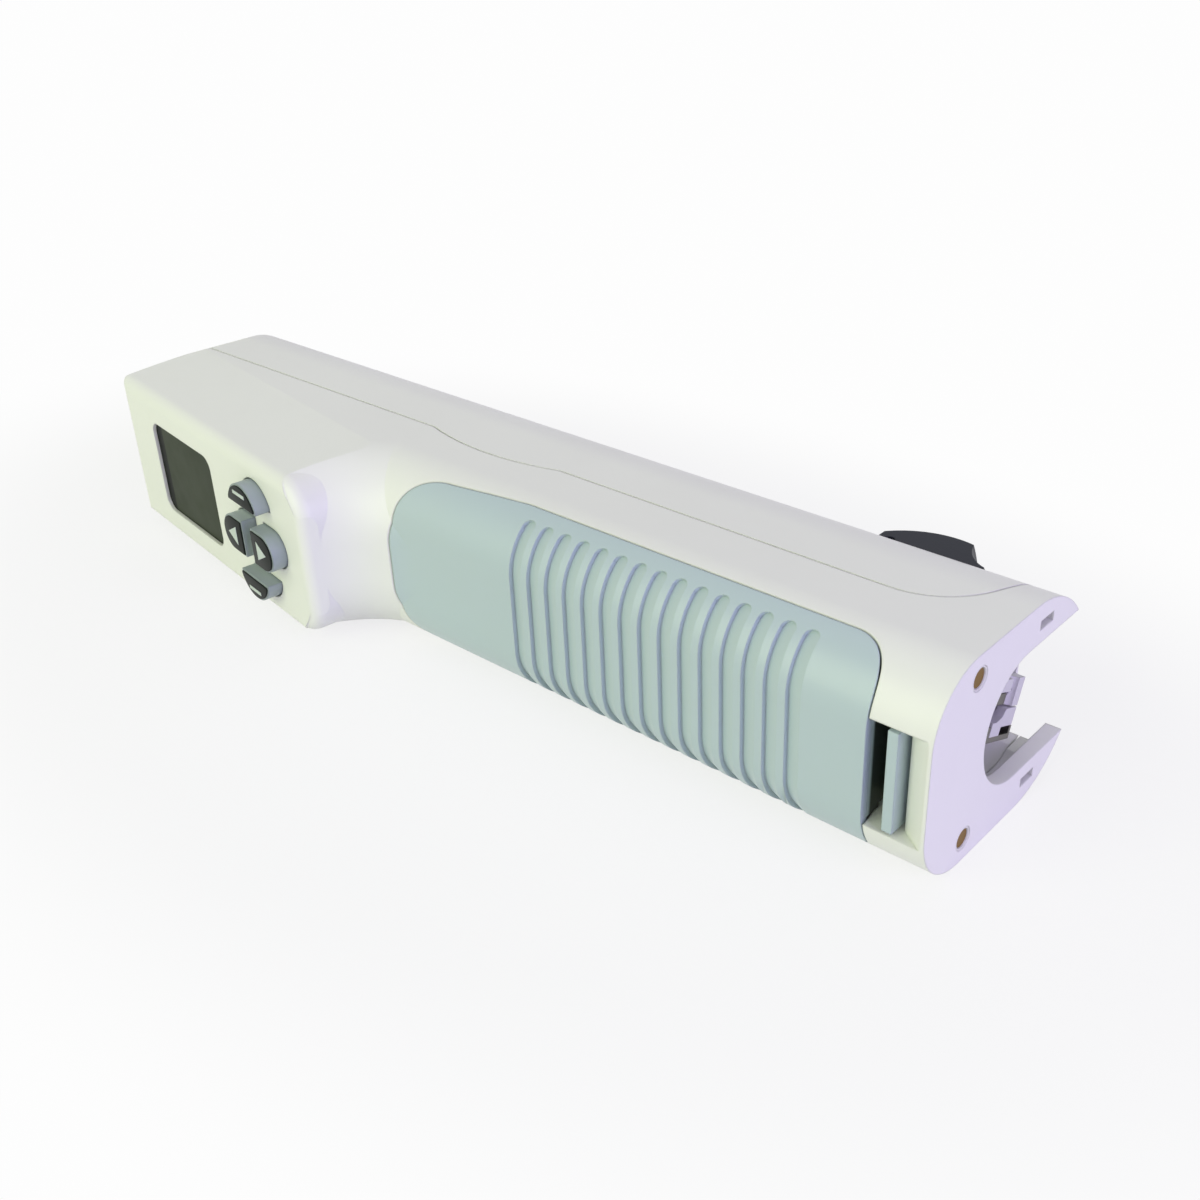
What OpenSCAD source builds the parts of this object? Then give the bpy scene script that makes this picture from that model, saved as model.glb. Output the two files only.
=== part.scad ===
// Hand-held electronic repeating pipette, lying on its side.
// +X along the length toward the syringe end, +Y toward the back, +Z up.
// Origin: on the piston axis, in the plane of the syringe end face.

/* [Body] */
// width of the body across its flat sides (Z)
body_w = 40; // [34:0.5:48]
// distance from the syringe end face to the outer corner of the head
body_len = 219.5; // [200:0.5:240]
// distance from the piston axis to the front (grip) surface
front_depth = 29.3; // [27:0.1:34]
// radius of the two front edges of the grip
corner_r = 12; // [8:0.5:14]
// offset of the rounded back behind the piston axis
back_c = 1.3; // [0:0.1:2]
// wall thickness of the two housings
wall = 2.2; // [1.6:0.1:3]
// visible gap between the two housings
seam_gap = 0.3; // [0.2:0.05:0.6]

/* [Head] */
// tilt of the display face from the body axis
head_tilt = 9; // [4:0.5:14]
// width of the display face at its rim
face_w = 35; // [30:0.5:40]
// length of the display face
face_len = 86; // [80:0.5:92]
// fillet around the display face
rim_r = 3; // [1:0.25:4]
// radius of the two face corners beside the neck
face_corner = 9; // [6:0.5:12]
// radius of the hollow neck between the face and the grip
neck_r = 20; // [14:0.5:28]
// radius of the neck's rounded sides
neck_t = 15.5; // [14:0.25:16.5]
// display window length
window_len = 29.7; // [24:0.1:34]
// display window width
window_w = 22.2; // [16:0.1:26]

/* [Keys] */
// height of the keys above the face
key_rise = 3.2; // [1:0.1:4]
// key travel
key_travel = 0.8; // [0.4:0.1:1.2]
// side clearance of each key in its hole
key_gap = 0.3; // [0.2:0.05:0.5]

/* [Battery cover] */
// thickness of the cover
cover_t = 2; // [1.5:0.1:3]
// gap all round the cover
cover_gap = 0.3; // [0.2:0.05:0.6]
// number of finger grooves
groove_n = 15; // [8:1:18]
// spacing of the grooves
groove_pitch = 4.46; // [3.6:0.02:5]
// depth of each groove
groove_d = 0.9; // [0.4:0.1:1.3]
// diameter of each cell
cell_d = 14.2; // [13.5:0.1:14.5]
// length of each cell
cell_len = 50.2; // [44:0.1:51]

/* [Syringe end] */
// radius of the syringe notch in the end face
notch_r = 12.2; // [9:0.1:14]
// thickness of the end plate
plate_t = 3; // [2:0.1:4]
// half width of the flange bay at the back
bay_hw = 15; // [13.5:0.25:15.5]
// length of the flange bay behind the end plate
bay_len = 8.3; // [6:0.1:10]

/* [Drive] */
// diameter of the piston rod
rod_d = 6; // [5:0.1:8]
// running clearance on a radius
run_gap = 0.1; // [0.05:0.01:0.2]
// stroke of the piston rod
stroke = 50; // [30:1:55]
// turn of the gripper about the rod
grip_turn = 22.5; // [0:0.5:25]
// diameter of the guide rails
rail_d = 3; // [2:0.1:4]
// gear module
gear_m = 0.7; // [0.6:0.01:0.8]
// teeth on the nut gear
nut_teeth = 30; // [26:1:32]
// teeth on the motor pinion
pinion_teeth = 10; // [8:1:12]
// motor diameter
motor_d = 20; // [16:0.5:20]

/* [Trigger] */
// distance of the trigger from the end face
trigger_in = 17.2; // [16.5:0.1:22]
// half of the trigger's width
trigger_hw = 15; // [12:0.25:15.5]
// gap round the trigger
trigger_gap = 0.4; // [0.3:0.05:0.8]

/* [Hidden] */
$fn = 64;
r0 = body_w / 2;
yc = front_depth - corner_r;
zc = r0 - corner_r;
hx = -body_len;
hy = -28.7;
face_hw = face_w / 2;
taper_y = 20.9;
// depth of the cover's inner face
cover_in = front_depth - cover_t;
// neck: centre of the hollow and of the rim fillet beside it
neck_x = hx + face_len + 17;
neck_y = -(front_depth + neck_r);
ct = cos(head_tilt);
st = sin(head_tilt);
function wx(u, v) = hx + u * ct + v * st;
function wy(u, v) = hy - u * st + v * ct;
// local position of the hollow's centre
nu = (neck_x - hx) * ct - (neck_y - hy) * st;
nv = (neck_x - hx) * st + (neck_y - hy) * ct;
fu = nu - sqrt(pow(neck_r + rim_r, 2) - pow(rim_r - nv, 2));
uc = fu + rim_r - face_corner;
zq = face_hw - face_corner;
back_r = 7;
back_y = back_c + r0 - back_r;
back_x = hx + (back_y - hy) * st / ct + back_r / ct;
seam_y = -7.6;
seam_r = 15.8;
tip_x = -22;
win_u = 15.4;
key_u = 66.6;
stem_h = 6;
bay_r = r0 - wall;
bay_x = -(plate_t + bay_len);
gear_c = gear_m * (nut_teeth + pinion_teeth) / 2;
gear_x = -115;
gear_w = 6;
trig_x0 = -34;
trig_x1 = -13.2;
pin_x = -31.6;
pin_y = 13.6;
cell_y = -18.4;
cell_z = cell_d / 2 + 0.35;

groove_a = 38;
well_hw = 10.3;
floor_y = -9.6;
post_x = [-130, -17];
board_post = [[52.5, 11.5], [52.5, -11.5], [80, 9], [80, -9]];
rail_z = 12;
motor_x = -123.3;
motor_len = 30;
block_x0 = -24;
block_x1 = -14;
jaw_px = -16;
jaw_pz = 4.1;
jaw_tip = -3.1;
root_x = -9.65;
root_y = -22.6;

// ---- helpers ----
// trigger and its pieces are drawn with the tip edge at x = trig_x1
module at_trigger() translate([-trigger_in - trig_x1, back_c, 0]) children();
module along_x(a, b) translate([a, 0, 0]) rotate([90, 0, 90]) linear_extrude(b - a) children();
module head() translate([hx, hy, 0]) rotate([0, 0, -head_tilt]) children();
module box(a, b) translate(a) cube(b - a);
// a solid standing on the display face, h0 to h1 measured inward
module face_post(h0, h1) head() translate([0, h0, 0]) rotate([-90, 0, 0]) linear_extrude(h1 - h0) mirror([0, 1]) children();

// ---- body shape, o = inset ----
module body_sec(o) {
  translate([back_c, 0]) circle(r = r0 - o);
  translate([-yc, -(r0 - o)]) square([yc + back_c, 2 * (r0 - o)]);
  translate([-(front_depth - o), -zc]) square([front_depth - o, 2 * zc]);
  for (s = [-1, 1]) translate([-yc, s * zc]) circle(r = corner_r - o);
}
module taper_sec(o) {
  m = (r0 - face_hw) / taper_y;
  k = sqrt(1 + m * m);
  h = face_hw;
  zz = h + m * rim_r - rim_r * k;
  r = rim_r - o;
  ry = rim_r - r * m / k;
  rz = zz + r / k;
  polygon([[o, -zz], [o, zz], [ry, rz], [taper_y, r0 - o], [80, r0 - o], [80, -(r0 - o)], [taper_y, -(r0 - o)], [ry, -rz]]);
  for (s = [-1, 1]) translate([rim_r, s * zz]) circle(r = max(r, 0.4));
}
module side_sec(o) {
  rf = rim_r - o;
  rb = back_r - o;
  difference() {
    union() {
      polygon([
        [wx(rim_r, o), wy(rim_r, o)], [wx(fu, o), wy(fu, o)],
        [wx(fu, rim_r), wy(fu, rim_r)] + rf * [(neck_x - wx(fu, rim_r)), (neck_y - wy(fu, rim_r))] / (neck_r + rim_r),
        [neck_x, -(front_depth - o)], [0, -(front_depth - o)], [0, back_c + r0 - o],
        [back_x, back_c + r0 - o], [back_x - rb * ct, back_y + rb * st],
        [wx(o, rim_r), wy(o, rim_r)]]);
      translate([wx(rim_r, rim_r), wy(rim_r, rim_r)]) circle(r = max(rf, 0.4));
      translate([wx(fu, rim_r), wy(fu, rim_r)]) circle(r = max(rf, 0.4));
      translate([back_x, back_y]) circle(r = rb);
    }
    translate([neck_x, neck_y]) circle(r = neck_r + o);
  }
}
// head with its two upright corners beside the neck
module head_block(o) intersection() {
  c = face_corner + 0.4;
  head() union() {
    box([-6, -6, -r0 - 1], [uc, 70, r0 + 1]);
    box([-6, -6, -zq], [uc + c - o, 70, zq]);
    for (s = [-1, 1]) translate([uc, 0, s * zq]) rotate([-90, 0, 0]) {
      if (o > 0) cylinder(r = c - o, h = 70);
      else rotate_extrude() {
        square([c - rim_r, 70]);
        translate([0, rim_r]) square([c, 70 - rim_r]);
        translate([c - rim_r, rim_r]) circle(r = rim_r);
      }
    }
  }
  box([hx - 10, -60, -30], [0, -1, 30]);
}
// grip section swept round the hollow of the neck
module neck_sweep(o) intersection() {
  translate([neck_x, neck_y, 0]) rotate_extrude() {
    translate([neck_r + o, -(r0 - neck_t)]) square([50, 2 * (r0 - neck_t)]);
    translate([neck_r + neck_t, -(r0 - o)]) square([50 - neck_t, 2 * (r0 - o)]);
    for (s = [-1, 1]) translate([neck_r + neck_t, s * (r0 - neck_t)]) circle(r = neck_t - o);
  }
  box([neck_x - 45, neck_y, -r0 - 1], [neck_x, -5, r0 + 1]);
}
module end_round(o) {
  e = 4.5 - o;
  head() translate([0, -5, 0]) rotate([-90, 0, 0]) linear_extrude(90) {
    translate([o, -(r0 - 4.5)]) square([300, 2 * (r0 - 4.5)]);
    translate([4.5, -(r0 - o)]) square([300, 2 * (r0 - o)]);
    for (s = [-1, 1]) translate([4.5, s * (r0 - 4.5)]) circle(r = e);
  }
}
module body(o) {
  intersection() {
    translate([0, 0, -r0]) linear_extrude(body_w) side_sec(o);
    head() rotate([90, 0, 90]) linear_extrude(260) taper_sec(o);
    end_round(o);
    union() {
      along_x(hx - 10, 0) body_sec(o);
      head_block(o);
      neck_sweep(o);
    }
  }
}
// side view of everything that belongs to the front housing, g = shift of the seam
module front_side(g) {
  difference() {
    translate([hx - 20, -80]) square([-hx + 21, 80 + seam_y + g]);
    translate([hx + 105.5, seam_y - 2.7 + 61.35]) circle(r = 61.35 - g);
  }
  difference() {
    translate([tip_x, -80]) square([1 - tip_x, 130]);
    translate([tip_x, seam_y + seam_r]) circle(r = seam_r - g);
    translate([tip_x - 1, seam_y + seam_r]) square([seam_r - g + 1, 60]);
  }
}
// side view of the battery cover, o = inset from the opening
module cover_side(o) {
  translate([-110, -37]) circle(r = 14.5 - o);
  translate([-19.2, -28.6]) circle(r = 8 - o);
  polygon([[-122, -40], [-110, -22.5 - o], [-91, -20.6 - o], [-19.2, -20.6 - o], [-19.2, -28.6], [-11.2 - o, -28.6], [-11.2 - o, -40]]);
}
module plate_slots() {
  for (s = [-1, 1]) box([-plate_t - 1, 2.9, s * 15.7 - 0.9], [1, 7.3, s * 15.7 + 0.9]);
}
module notch() {
  along_x(-plate_t - 0.5, 1) {
    circle(r = notch_r);
    translate([0, -notch_r]) square([30, 2 * notch_r]);
  }
}
module bay() {
  along_x(bay_x - 2.4, -plate_t) circle(r = bay_r);
  box([bay_x, 0, -bay_hw], [-plate_t, 30, bay_hw]);
}
module latch_well() {
  translate([0, 0, -well_hw]) linear_extrude(2 * well_hw) polygon([[-13.2, -40], [-0.8, -40], [-0.8, -29.2], [-5.2, -26.2], [-5.2, -19.6], [-13.2, -19.6]]);
}
module key_shape(i, o) {
  // 0 upper, 1 left, 2 right, 3 lower
  if (i == 0 || i == 3) mirror([0, i == 3 ? 1 : 0]) intersection() {
    translate([key_u, 7.1]) circle(r = 6.3 + o);
    translate([key_u - 9, 8.3 - o]) square([18, 9 + 2 * o]);
    translate([key_u - 5.9 - o, 0]) square([11.8 + 2 * o, 20]);
  }
  if (i == 1) { translate([key_u - 6.6, 0]) circle(r = 4.2 + o); translate([key_u - 6.6, -4.2 - o]) square([4.6 + o, 8.4 + 2 * o]); }
  if (i == 2) { translate([key_u + 6.6, 0]) circle(r = 4.2 + o); translate([key_u + 2 - o, -4.2 - o]) square([4.6 + o, 8.4 + 2 * o]); }
}
module key_stem_at(i) {
  u = key_u + (i == 1 ? -6.2 : i == 2 ? 6.2 : 0);
  z = i == 0 ? 10.6 : i == 3 ? -10.6 : 0;
  translate([u, z]) children();
}
module window_shape(o) {
  w = window_w / 2 + o;
  r = 3 + o;
  u0 = win_u - o;
  u1 = win_u + window_len + o;
  translate([u0, -w + r]) square([u1 - u0, 2 * (w - r)]);
  translate([u0 + r, -w]) square([u1 - u0 - 2 * r, 2 * w]);
  for (u = [u0 + r, u1 - r], z = [-w + r, w - r]) translate([u, z]) circle(r = r);
}

// ---- housings ----
module front_housing() color([0.86, 0.88, 0.86]) {
  difference() {
    intersection() {
      body(0);
      translate([0, 0, -r0 - 1]) linear_extrude(body_w + 2) front_side(0);
    }
    intersection() {
      body(wall);
      box([hx, -60, -30], [bay_x - 2.2, 40, 30]);
    }
    bay();
    notch();
    plate_slots();
    latch_well();
    // battery cover opening
    translate([0, 0, -30]) linear_extrude(60) cover_side(0);
    face_post(-2, wall + 1) window_shape(0);
    for (i = [0:3]) face_post(-2, wall + 1) key_shape(i, key_gap);
    for (s = [-1, 1]) {
      along_x(-1.4, 1) translate([-16.3, s * 15.5]) circle(r = 2.2);
      along_x(-9.4, 0) translate([-16.3, s * 15.5]) circle(r = 1.15);
    }
  }
  // screw posts of the chassis
  for (x = post_x, s = [-1, 1]) difference() {
    box([x - 2.5, -14, s > 0 ? 13.5 : -19], [x + 2.5, floor_y - 0.1, s > 0 ? 19 : -13.5]);
    translate([x, -15, s * 15.5]) rotate([-90, 0, 0]) cylinder(r = 0.9, h = 8);
  }
  // posts of the main board
  for (q = board_post) {
    face_post(wall - 0.5, 7.95) translate(q) circle(r = 2);
    face_post(wall, 10.3) translate(q) circle(r = 1);
  }
}
module rear_housing() color([0.84, 0.86, 0.85]) {
  difference() {
    intersection() {
      body(0);
      box([hx - 9, -40, -30], [1, 40, 30]);
    }
    translate([0, 0, -r0 - 1]) linear_extrude(body_w + 2) front_side(seam_gap);
    body(wall);
    box([bay_x + 1.1, 0, -bay_hw], [1, 30, bay_hw]);
    // trigger opening
    at_trigger() box([trig_x0 - trigger_gap, 5, -trigger_hw - trigger_gap], [trig_x1 + 0.7, 40, trigger_hw + trigger_gap]);
  }
  // lugs that hold the trigger pin
  at_trigger() for (s = [-1, 1]) difference() {
    box([-39, 11.6, s > 0 ? 8.8 : -11], [pin_x + 2, 15.6, s > 0 ? 11 : -8.8]);
    translate([pin_x, pin_y, s > 0 ? 8 : -12]) cylinder(r = 1, h = 4);
  }
}

// ---- display and keys ----
module display_window() color([0.5, 0.55, 0.5, 0.5]) {
  face_post(0.7, wall + 0.6) window_shape(-0.1);
  face_post(wall + 0.1, wall + 1.1) window_shape(1.6);
}
module lcd_module() color([0.25, 0.28, 0.24]) {
  head() {
    box([win_u - 2, wall + 1.3, -13], [win_u + window_len + 2, wall + 3.3, 13]);
    box([win_u - 3, wall + 3.3, -14], [win_u + window_len + 3, wall + 5.2, 14]);
  }
}
module one_key(i) {
  face_post(-key_rise, wall + 0.4) key_shape(i, 0);
  face_post(wall + 0.4, wall + 1.3) key_shape(i, 0.9);
  face_post(wall + 1.2, stem_h) key_stem_at(i) circle(r = 1.5);
}
module key_upper() color([0.3, 0.33, 0.36]) one_key(0);
module key_left() color([0.3, 0.33, 0.36]) one_key(1);
module key_right() color([0.3, 0.33, 0.36]) one_key(2);
module key_lower() color([0.3, 0.33, 0.36]) one_key(3);
module dome_switches() color([0.75, 0.75, 0.78]) for (i = [0:3]) {
  face_post(stem_h + key_travel + 0.2, stem_h + key_travel + 0.5) key_stem_at(i) circle(r = 1.6);
  face_post(stem_h + key_travel + 0.5, 8) key_stem_at(i) circle(r = 2.6);
}
module main_board() color([0.1, 0.35, 0.2]) difference() {
  head() {
    box([10, 8, -14.5], [uc + 1, 9.6, 14.5]);
    box([uc, 8, -12], [83, 9.6, 12]);
  }
  for (q = board_post) face_post(7, 11) translate(q) circle(r = 1.1);
}

// ---- battery cover ----
module groove(x) {
  w = 2.8;
  d = groove_d;
  translate([0, 0, -zc]) linear_extrude(2 * zc) polygon([[x, -front_depth + d], [x, -front_depth - 2], [x + w, -front_depth - 2], [x + w, -front_depth]]);
  for (s = [-1, 1]) intersection() {
    translate([0, -yc, s * zc]) rotate([0, 90, 0]) rotate_extrude() polygon([[corner_r - d, x], [corner_r + 2, x], [corner_r + 2, x + w], [corner_r, x + w]]);
    box([x - 1, -60, s > 0 ? zc : -60], [x + w + 1, 0, s > 0 ? 60 : -zc]);
    union() {
      along_x(x - 1, x + w + 1) translate([-yc, s * zc]) polygon([[0, 0], [-30, 0], [-30, s * 30 / tan(groove_a)]]);
      translate([x + w / 2, -yc, s * zc]) rotate([s > 0 ? groove_a : 180 - groove_a, 0, 0]) cylinder(r = w / 2 - 0.06, h = corner_r + 2);
    }
  }
}
module grip_cover() color([0.62, 0.68, 0.66]) {
  difference() {
    intersection() {
      body(0);
      translate([0, 0, -30]) linear_extrude(60) cover_side(cover_gap);
    }
    body(cover_t);
    for (k = [0:groove_n - 1]) groove(-89 + groove_pitch * k);
  }
  // end wall and the root of the latch
  box([-13, -cover_in - 0.3, -9.9], [-11.5, -24, 9.9]);
  translate([root_x, root_y, -9]) linear_extrude(18) {
    difference() {
      circle(r = 2.65);
      circle(r = 1.85);
      translate([-4, -8]) square([8, 8]);
      translate([-0.15, -4]) square([4, 8]);
    }
    translate([-2.65, -1.6]) square([0.8, 1.7]);
  }
  // hook tongue at the head end and its root
  box([-125.2, 0.2 - cover_in, -5], [-117, 1.4 - cover_in, 5]);
  box([-119.4, -cover_in - 0.6, -5], [-116.4, 1.3 - cover_in, 5]);
}
module cover_latch() color([0.7, 0.74, 0.73]) {
  translate([root_x, root_y, -9]) linear_extrude(18) {
    difference() {
      circle(r = 2.65);
      circle(r = 1.85);
      translate([-4, -8]) square([8, 8]);
      translate([-4, -4]) square([4.15, 8]);
    }
    translate([1.85, -1]) square([0.8, 1.1]);
  }
  box([-7.8, -29.1, -9.6], [-5.9, -22.9, 9.6]);
  // detent rib
  along_z(-4.5, 4.5) translate([-5.9, -24.2]) circle(r = 0.35);
}
module along_z(a, b) translate([0, 0, a]) linear_extrude(b - a) children();

// ---- cells ----
module battery_tray() color([0.25, 0.26, 0.28]) {
  box([-106, -11.1, -15.6], [-22.2, -9.9, 15.6]);
  for (s = [-1, 1]) box([-82, -19.6, s > 0 ? 14.9 : -16], [-22.2, -9.9, s > 0 ? 16 : -14.9]);
  for (x = [-82, -23.6]) box([x, -24.4, -15], [x + 1.4, -9.9, 15]);
}
module cell_at(s) {
  along_x(-75 + 1, -75 + cell_len) translate([cell_y, s * cell_z]) circle(r = cell_d / 2);
  along_x(-75, -75 + 1.2) translate([cell_y, s * cell_z]) circle(r = s > 0 ? 2.75 : 6.2);
}
module cell_upper() color([0.2, 0.45, 0.6]) cell_at(1);
module cell_lower() color([0.2, 0.45, 0.6]) cell_at(-1);
module cell_springs() color([0.75, 0.75, 0.75]) for (s = [-1, 1]) {
  along_x(-80.5, -80) translate([cell_y - 5.5, s * cell_z - 5.5]) square([11, 11]);
  for (k = [0:3]) translate([-79.6 + 1.05 * k, cell_y, s * cell_z]) rotate([0, 90, 0]) rotate_extrude() translate([4.6 - 0.6 * k, 0]) circle(r = 0.45);
  along_x(-80.1, -75.9) translate([cell_y - 0.4, s * cell_z + 2.4]) square([0.8, 0.8]);
}
module cell_plate() color([0.75, 0.75, 0.75]) box([-24.6, cell_y - 5.5, -13.4], [-23.8, cell_y + 5.5, 13.4]);

// ---- drive ----
module chassis() color([0.8, 0.82, 0.84]) difference() {
  union() {
    box([-136, floor_y, -15.6], [-13.7, floor_y + 1.8, 15.6]);
    box([-14, floor_y, -14.6], [-12.2, floor_y + 1.8, 14.6]);
    for (x = post_x, s = [-1, 1]) box([x - 2.5, floor_y, s > 0 ? 10 : -17.2], [x + 2.5, floor_y + 1.8, s > 0 ? 17.2 : -10]);
    along_x(-12.7, bay_x) circle(r = bay_r - 0.4);
    // bearing plates
    for (x = [-109, -122.9]) box([x, floor_y, -15.4], [x + 4.8, 8.5, 15.4]);
    // motor plate
    box([-123.2, -24.6, -11.4], [-121.2, floor_y + 1, 11.4]);
    // side walls that carry the switch board
    for (s = [-1, 1]) intersection() {
      at_trigger() box([-42, floor_y - 5, s > 0 ? 14.6 : -15.6], [-21, 7.6, s > 0 ? 15.6 : -14.6]);
      box([-80, floor_y, -20], [0, 30, 20]);
    }
  }
  box([-14, -7.7, -10.1], [-10, 9.4, 10.1]);
  // clearance round the gears and the motor
  box([-140, -15, -10.9], [-123.2, -3, 10.9]);
  box([-118.1, -12, -12.2], [-109, 12, 12.2]);
  along_x(-126, -100) circle(r = 6.8);
  for (x = [-108.4, -122.9]) along_x(x, x + 4.2) circle(r = 9.5);
  along_x(-125, -118) translate([-gear_c, 0]) circle(r = 3.2);
  for (s = [-1, 1]) {
    along_x(-130, -10) translate([0, s * rail_z]) circle(r = rail_d / 2);
    for (x = post_x) translate([x, -12, s * 15.5]) rotate([-90, 0, 0]) cylinder(r = 1.05, h = 8);
  }
  // bulkhead clears the sides of the housing
  box([-13.3, -20, -20], [-11, -12.4, 20]);
}
module chassis_screws() color([0.7, 0.7, 0.72]) for (x = post_x, s = [-1, 1]) translate([x, 0, s * 15.5]) rotate([-90, 0, 0]) {
  translate([0, 0, floor_y + 1.8]) difference() {
    cylinder(r = 1.7, h = 1.3);
    translate([0, 0, 0.6]) cylinder(r = 0.9, h = 2, $fn = 6);
  }
  translate([0, 0, -13.4]) cylinder(r = 0.85, h = 13.4 + floor_y + 2);
}
module motor() color([0.6, 0.6, 0.63]) translate([0, -gear_c, 0]) {
  along_x(motor_x - motor_len, motor_x) circle(r = motor_d / 2);
  along_x(motor_x, motor_x + 2.4) circle(r = 3);
  along_x(motor_x - motor_len - 2, motor_x - motor_len) circle(r = 2.4);
  for (s = [-1, 1]) box([motor_x - motor_len - 3, -1.5, s * 6 - 0.4], [motor_x - motor_len, 1.5, s * 6 + 0.4]);
}
module gear2d(n, a) {
  rp = gear_m * n / 2;
  ri = rp - 1.1 * gear_m;
  ro = rp + 0.85 * gear_m;
  w = 360 / n;
  polygon([for (k = [0:n - 1]) for (q = [[ri, -0.3], [rp, -0.2], [ro, -0.1], [ro, 0.1], [rp, 0.2], [ri, 0.3]]) q[0] * [cos(w * (k + q[1]) + a), sin(w * (k + q[1]) + a)]]);
}
module motor_pinion() color([0.8, 0.7, 0.4]) translate([0, -gear_c, 0]) difference() {
  union() {
    along_x(gear_x, gear_x + gear_w) gear2d(pinion_teeth, 0);
    along_x(motor_x + 3, gear_x + gear_w + 1.5) circle(r = 1);
    along_x(gear_x - 1.5, gear_x) circle(r = 2);
  }
}
module nut_gear() color([0.82, 0.74, 0.5]) difference() {
  union() {
    along_x(gear_x, gear_x + gear_w) gear2d(nut_teeth, 180 + 180 / nut_teeth);
    along_x(-122.6, -104.4) circle(r = 4.95);
    along_x(-118, -109.4) circle(r = 6.3);
  }
  along_x(-124, -100) circle(r = rod_d / 2 + run_gap);
}
module bearing(x) {
  difference() {
    union() {
      along_x(x, x + 4) difference() { circle(r = 9.45); circle(r = 7.9); }
      along_x(x, x + 4) circle(r = 6.4);
      along_x(x + 0.6, x + 3.4) circle(r = 8);
    }
    along_x(x - 1, x + 5) circle(r = 5);
  }
}
module nut_bearing_front() color([0.7, 0.72, 0.74]) bearing(-108.4);
module nut_bearing_rear() color([0.7, 0.72, 0.74]) bearing(-122.8);
module piston_rod() color([0.72, 0.74, 0.76]) difference() {
  union() {
    along_x(-(80 + stroke), -19) circle(r = rod_d / 2);
    along_x(-26.5, -24.1) circle(r = rod_d / 2 + 1.6);
  }
  for (k = [0:9]) translate([-(79 + stroke) + 2 * k, 0, 0]) rotate([0, 90, 0]) rotate_extrude() translate([rod_d / 2, 0]) polygon([[-0.5, 0], [0.2, -0.6], [0.2, 0.6]]);
}
module rail(s) along_x(-108.8, -12) translate([0, s * rail_z]) circle(r = rail_d / 2 - 0.02);
module guide_rail_upper() color([0.75, 0.77, 0.8]) rail(1);
module guide_rail_lower() color([0.75, 0.77, 0.8]) rail(-1);
module at_grip() rotate([-grip_turn, 0, 0]) children();
module jaw_bore(r, h) translate([jaw_px, -h / 2, 0]) rotate([-90, 0, 0]) cylinder(r = r, h = h);
module gripper_block() color([0.9, 0.9, 0.92]) difference() {
  union() {
    intersection() {
      at_grip() box([block_x0, -6.6, -9], [block_x1, 6.6, 9]);
      along_x(block_x0 - 1, block_x1 + 1) circle(r = 7.6);
    }
    for (s = [-1, 1]) {
      along_x(block_x0, block_x1) translate([0, s * rail_z]) circle(r = 2.3);
      box([block_x0 + 0.3, -1.4, s > 0 ? 0 : -11], [block_x1 - 0.3, 1.4, s > 0 ? 11 : 0]);
    }
  }
  for (s = [-1, 1]) {
    along_x(block_x0 - 1, block_x1 + 1) translate([0, s * rail_z]) circle(r = rail_d / 2 + run_gap);
    at_grip() {
      box([-18.3, -3.9, s > 0 ? 2.7 : -5.7], [block_x1 + 1, 3.9, s > 0 ? 5.7 : -2.7]);
      translate([0, 0, s * jaw_pz]) jaw_bore(0.8, 16);
    }
  }
  along_x(block_x0 - 1, -19) circle(r = rod_d / 2);
}
// claws in the gripper's own turn: arm, bar at the tip and one half of the side column
module jaw_upper() color([0.93, 0.93, 0.95]) at_grip() difference() {
  union() {
    box([-17.6, -3.6, 3], [jaw_tip - 1.8, 3.6, 5.2]);
    box([jaw_tip - 1.9, -4.4, 3], [jaw_tip, 5, 5.2]);
    along_x(jaw_tip - 1.9, jaw_tip) polygon([[5, 0.15], [5, 3.2], [2.45, 3.2], [2.45, 3], [1.2, 0.15]]);
  }
  translate([0, 0, jaw_pz]) jaw_bore(0.85, 16);
  translate([jaw_tip + 0.1, 1.5, 0]) cylinder(r = 1.2, h = 9);
  box([-12.6, -2.4, 4.2], [-7, 2.4, 7]);
}
module jaw_lower() color([0.93, 0.93, 0.95]) at_grip() difference() {
  union() {
    box([-17.6, -3.6, -4.9], [jaw_tip - 3.5, 3.6, -3]);
    box([jaw_tip - 3.6, -2.9, -4.9], [jaw_tip, 0.8, -2.4]);
    along_x(jaw_tip - 1.9, jaw_tip) polygon([[5, -0.15], [1.2, -0.15], [0.3, -1.6], [-1.5, -2.4], [-1.5, -3], [0.8, -3.4], [5, -3.4]]);
  }
  translate([0, 0, -jaw_pz]) jaw_bore(0.85, 16);
  box([-12.6, -2.4, -7], [-7, 2.4, -4.1]);
}
// steel band round the end of the lower claw
module jaw_band() color([0.3, 0.3, 0.32]) at_grip() along_x(jaw_tip - 3.4, jaw_tip) difference() {
  translate([-4.4, -5.9]) square([9.6, 2.9]);
  translate([-3.2, -4.9]) square([7.8, 3]);
  translate([3, -3.5]) square([3, 1]);
}
module jaw_pins() color([0.7, 0.7, 0.72]) at_grip() for (s = [-1, 1]) translate([0, 0, s * jaw_pz]) jaw_bore(0.8, 10.8);
// steel leaf between the claws and its stem
module jaw_clip() color([0.45, 0.45, 0.47]) at_grip() {
  box([block_x1, -1.4, -0.8], [jaw_tip - 1.5, 0.6, 0.9]);
  box([jaw_tip - 1.6, -4.3, 0.1], [jaw_tip - 1.1, 0.9, 2.7]);
  box([jaw_tip - 1.6, -4.3, -2.2], [jaw_tip - 1.1, -1.8, 0.1]);
  box([jaw_tip - 1.1, -2.2, 0.4], [jaw_tip - 0.7, 0.9, 2.4]);
}

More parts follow.
